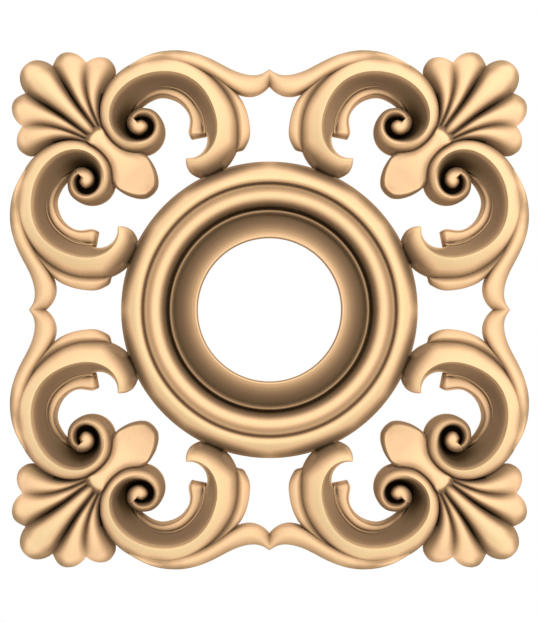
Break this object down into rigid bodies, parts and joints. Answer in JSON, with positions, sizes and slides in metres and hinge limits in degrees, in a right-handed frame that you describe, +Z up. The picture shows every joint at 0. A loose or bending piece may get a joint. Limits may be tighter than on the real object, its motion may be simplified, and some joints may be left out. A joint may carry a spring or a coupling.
{
  "type": "carved wall panel",
  "caption": "Square openwork carved wood wall panel with a moulded ring, scallop shell corners, C-scrolls with volutes and leafy tendrils along the sides.",
  "frame": {"origin": "centre of the panel on its flat back, in the plane of the wall", "axes": "+Y into the wall, so the carving faces -Y; +Z up; +X to the viewer's right"},
  "size_m": [0.5258, 0.0351, 0.5258],
  "materials": {
    "limewood": "matt, unvarnished, sanded after carving"
  },
  "bodies": {
    "root": {"carved_panel": "limewood"}
  },
  "joints": []
}
